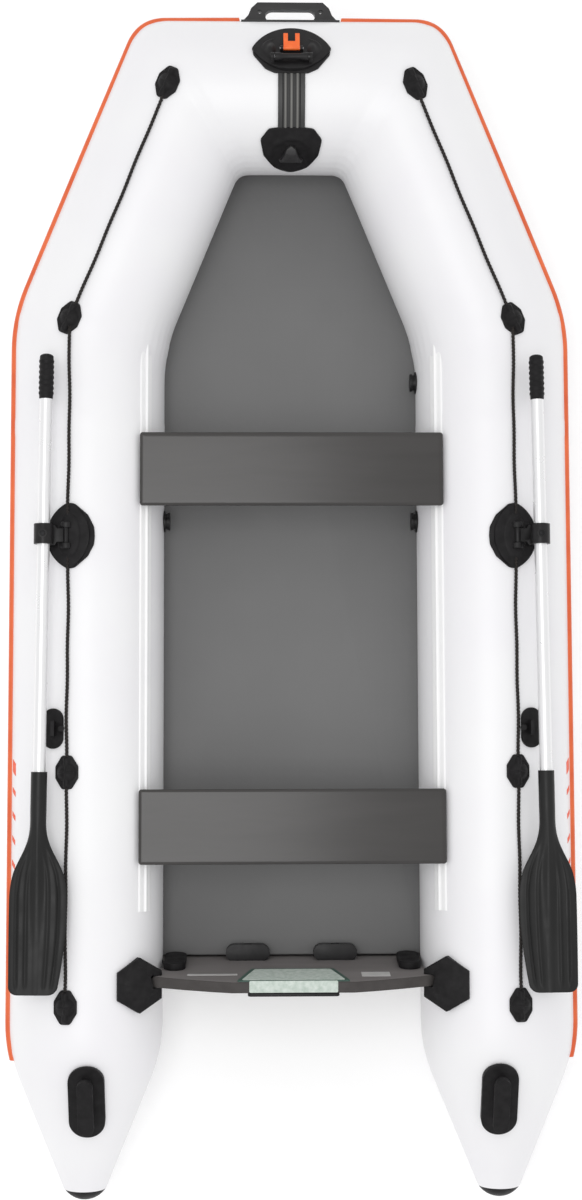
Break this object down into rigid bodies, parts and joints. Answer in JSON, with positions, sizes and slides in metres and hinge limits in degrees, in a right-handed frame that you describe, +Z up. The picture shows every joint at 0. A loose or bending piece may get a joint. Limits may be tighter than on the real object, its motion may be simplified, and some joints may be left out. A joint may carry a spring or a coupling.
{
  "type": "inflatable dinghy",
  "caption": "Inflatable dinghy with white tubes, a raised bow, grey air floor, board transom, sliding thwarts, grab ropes and stowed oars.",
  "frame": {"origin": "on the ground, under the middle of the overall length and width", "axes": "+X to starboard, +Y to the bow, +Z up"},
  "size_m": [1.57, 3.326, 0.5248],
  "materials": {
    "hull_pvc": "satin",
    "baffle_fabric": "matte",
    "orange_strake": "satin",
    "floor_pvc": "matte",
    "bottom_pvc": "matte",
    "painted_plywood": "satin",
    "green_plate": "matte",
    "rail_pvc": "satin",
    "stainless_steel": "satin",
    "oar_aluminium": "satin",
    "orange_plastic": "gloss",
    "rope_fibre": "matte",
    "black_rubber": "matte",
    "black_plastic": "satin"
  },
  "bodies": {
    "hull": {"bow_tube": "hull_pvc", "port_quarter_tube": "hull_pvc", "starboard_quarter_tube": "hull_pvc", "port_side_tube": "hull_pvc", "starboard_side_tube": "hull_pvc", "port_stern_cone": "hull_pvc", "starboard_stern_cone": "hull_pvc", "chamber_bulkheads": "baffle_fabric", "cone_caps": "black_rubber", "rub_strake": "orange_strake", "air_floor": "floor_pvc", "hull_bottom": "bottom_pvc", "keel_tube": "bottom_pvc", "transom_board": "painted_plywood", "inner_motor_plate": "green_plate", "outer_motor_plate": "black_plastic", "transom_knees": "black_rubber", "drain_housings": "black_plastic", "seat_rails": "rail_pvc", "port_oarlock_base": "black_plastic", "starboard_oarlock_base": "black_plastic", "hinge_pins": "stainless_steel", "oar_holders": "black_rubber", "rope_pads": "black_rubber", "port_grab_rope": "rope_fibre", "starboard_grab_rope": "rope_fibre", "bow_handle": "black_rubber", "fairlead_base": "black_plastic", "wear_strip": "black_rubber", "towing_pad": "black_rubber", "stern_handles": "black_rubber", "valve_bodies": "black_plastic"},
    "front_thwart": {"front_thwart": "painted_plywood", "front_thwart_shoes": "black_plastic"},
    "rear_thwart": {"rear_thwart": "painted_plywood", "rear_thwart_shoes": "black_plastic"},
    "port_oarlock_arm": {"port_oarlock_arm": "black_plastic", "port_collar_bolt": "stainless_steel"},
    "starboard_oarlock_arm": {"starboard_oarlock_arm": "black_plastic", "starboard_collar_bolt": "stainless_steel"},
    "port_oar": {"port_oar_collar": "black_plastic", "port_oar_shaft": "oar_aluminium", "port_oar_grip": "black_rubber", "port_oar_blade": "black_plastic"},
    "starboard_oar": {"starboard_oar_collar": "black_plastic", "starboard_oar_shaft": "oar_aluminium", "starboard_oar_grip": "black_rubber", "starboard_oar_blade": "black_plastic"},
    "fairlead_roller": {"fairlead_roller": "black_plastic"},
    "rope_latch": {"rope_latch": "orange_plastic"},
    "port_drain_plug": {"port_drain_plug": "black_plastic"},
    "starboard_drain_plug": {"starboard_drain_plug": "black_plastic"},
    "port_valve_cap": {"port_valve_cap": "black_plastic"},
    "port_valve_plunger": {"port_valve_plunger": "black_plastic"},
    "starboard_valve_cap": {"starboard_valve_cap": "black_plastic"},
    "starboard_valve_plunger": {"starboard_valve_plunger": "black_plastic"},
    "bow_valve_cap": {"bow_valve_cap": "black_plastic"},
    "bow_valve_plunger": {"bow_valve_plunger": "black_plastic"},
    "floor_valve_cap": {"floor_valve_cap": "black_plastic"},
    "floor_valve_plunger": {"floor_valve_plunger": "black_plastic"}
  },
  "joints": [
    {"name": "front_thwart_slide", "type": "slide", "parent": "hull", "child": "front_thwart", "axis": [0, 1, 0], "range_m": [-0.25, 0.2]},
    {"name": "rear_thwart_slide", "type": "slide", "parent": "hull", "child": "rear_thwart", "axis": [0, 1, 0], "range_m": [-0.1, 0.25]},
    {"name": "port_oarlock_hinge", "type": "hinge", "parent": "hull", "child": "port_oarlock_arm", "pos_m": [-0.611, 0.138, 0.43], "axis": [0, -1, 0], "range_deg": [-6, 14]},
    {"name": "port_oar_sweep", "type": "hinge", "parent": "port_oarlock_arm", "child": "port_oar", "pos_m": [-0.668, 0.138, 0.458], "axis": [0, 0, -1], "range_deg": [0, 105]},
    {"name": "starboard_oarlock_hinge", "type": "hinge", "parent": "hull", "child": "starboard_oarlock_arm", "pos_m": [0.611, 0.138, 0.43], "axis": [0, 1, 0], "range_deg": [-6, 14]},
    {"name": "starboard_oar_sweep", "type": "hinge", "parent": "starboard_oarlock_arm", "child": "starboard_oar", "pos_m": [0.668, 0.138, 0.458], "axis": [0, 0, 1], "range_deg": [0, 105]},
    {"name": "fairlead_roller_spin", "type": "hinge", "parent": "hull", "child": "fairlead_roller", "pos_m": [0, 1.43617, 0.51383], "axis": [1, 0, 0], "continuous": true},
    {"name": "rope_latch_hinge", "type": "hinge", "parent": "hull", "child": "rope_latch", "pos_m": [0, 1.46326, 0.50329], "axis": [1, 0, 0], "range_deg": [0, 75]},
    {"name": "port_drain_plug_pull", "type": "slide", "parent": "hull", "child": "port_drain_plug", "axis": [0, -1, 0], "range_m": [0, 0.045]},
    {"name": "starboard_drain_plug_pull", "type": "slide", "parent": "hull", "child": "starboard_drain_plug", "axis": [0, -1, 0], "range_m": [0, 0.045]},
    {"name": "port_valve_cap_hinge", "type": "hinge", "parent": "hull", "child": "port_valve_cap", "pos_m": [-0.3447, 0.202, 0.181], "axis": [0, 1, 0], "range_deg": [0, 110]},
    {"name": "port_valve_plunger_push", "type": "slide", "parent": "hull", "child": "port_valve_plunger", "axis": [-1, 0, 0], "range_m": [0, 0.004], "stiffness_N_per_m": 300, "springref_m": -0.002},
    {"name": "starboard_valve_cap_hinge", "type": "hinge", "parent": "hull", "child": "starboard_valve_cap", "pos_m": [0.3447, 0.202, 0.181], "axis": [0, -1, 0], "range_deg": [0, 110]},
    {"name": "starboard_valve_plunger_push", "type": "slide", "parent": "hull", "child": "starboard_valve_plunger", "axis": [1, 0, 0], "range_m": [0, 0.004], "stiffness_N_per_m": 300, "springref_m": -0.002},
    {"name": "bow_valve_cap_hinge", "type": "hinge", "parent": "hull", "child": "bow_valve_cap", "pos_m": [0.3447, 0.599, 0.181], "axis": [0, -1, 0], "range_deg": [0, 110]},
    {"name": "bow_valve_plunger_push", "type": "slide", "parent": "hull", "child": "bow_valve_plunger", "axis": [1, 0, 0], "range_m": [0, 0.004], "stiffness_N_per_m": 300, "springref_m": -0.002},
    {"name": "floor_valve_cap_hinge", "type": "hinge", "parent": "hull", "child": "floor_valve_cap", "pos_m": [-0.241, -0.647, 0.1573], "axis": [0, 1, 0], "range_deg": [0, 110]},
    {"name": "floor_valve_plunger_push", "type": "slide", "parent": "hull", "child": "floor_valve_plunger", "axis": [0, 0, -1], "range_m": [0, 0.004], "stiffness_N_per_m": 300, "springref_m": -0.002}
  ]
}
